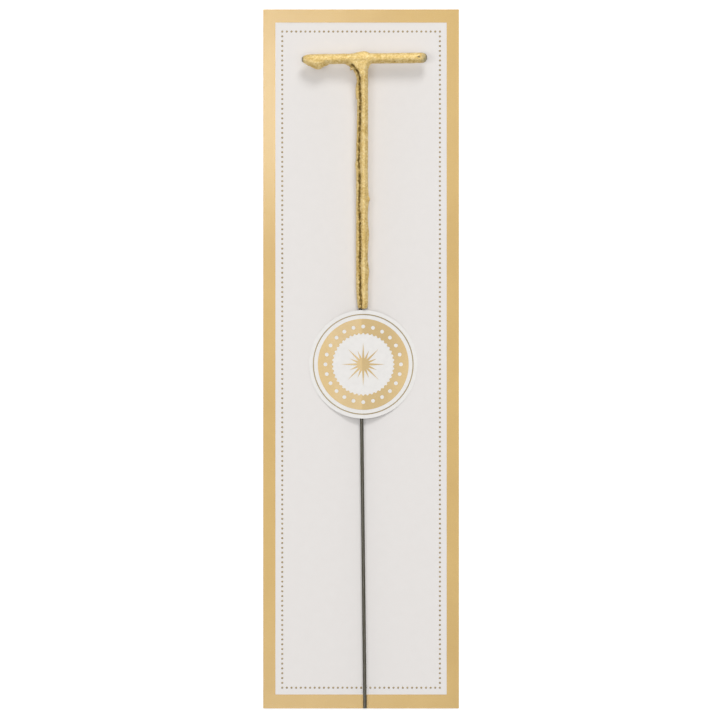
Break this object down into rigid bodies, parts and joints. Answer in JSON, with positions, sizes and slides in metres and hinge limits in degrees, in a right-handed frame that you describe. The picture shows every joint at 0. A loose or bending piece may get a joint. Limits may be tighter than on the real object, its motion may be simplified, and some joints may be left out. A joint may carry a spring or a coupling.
{
  "type": "sparkler",
  "caption": "Letter T hand sparkler with a lumpy gold coat and a bare wire handle, held on a tall card with a foil border by a round paper label that peels back.",
  "frame": {"origin": "middle of the card's back face, which lies on the table", "axes": "+X across the card to the right of its printed face, +Y up the card towards the T head, +Z out of the printed face"},
  "size_m": [0.056, 0.2, 0.0064],
  "materials": {
    "card_board": "smooth white coated board, matt",
    "gold_foil": "hot-stamped gold foil, satin",
    "label_paper": "white label paper, matt",
    "glue": "dried clear label glue",
    "label_foil": "gold foil print, satin",
    "steel_wire": "dark annealed steel wire",
    "composition": "rough grey pressed powder",
    "gold_coat": "lumpy metallic gold paint"
  },
  "bodies": {
    "card": {"backing_card": "card_board", "foil_frame": "gold_foil", "foil_dots": "gold_foil"},
    "label": {"label_paper": "label_paper", "label_adhesive": "glue", "label_ring_line": "label_foil", "label_band": "label_foil", "label_motif": "label_foil"},
    "sparkler": {"stick_wire": "steel_wire", "arm_wire": "steel_wire", "spark_composition": "composition", "gold_skin": "gold_coat"}
  },
  "joints": [
    {"name": "sparkler_slide", "type": "slide", "parent": "card", "child": "sparkler", "axis": [-0.0113, 0.9999, 0], "range_m": [0, 0.117]},
    {"name": "label_peel", "type": "hinge", "parent": "card", "child": "label", "pos_m": [-0.01488, -0.00155, 0.00081], "axis": [0, -1, 0], "range_deg": [0, 120]}
  ]
}
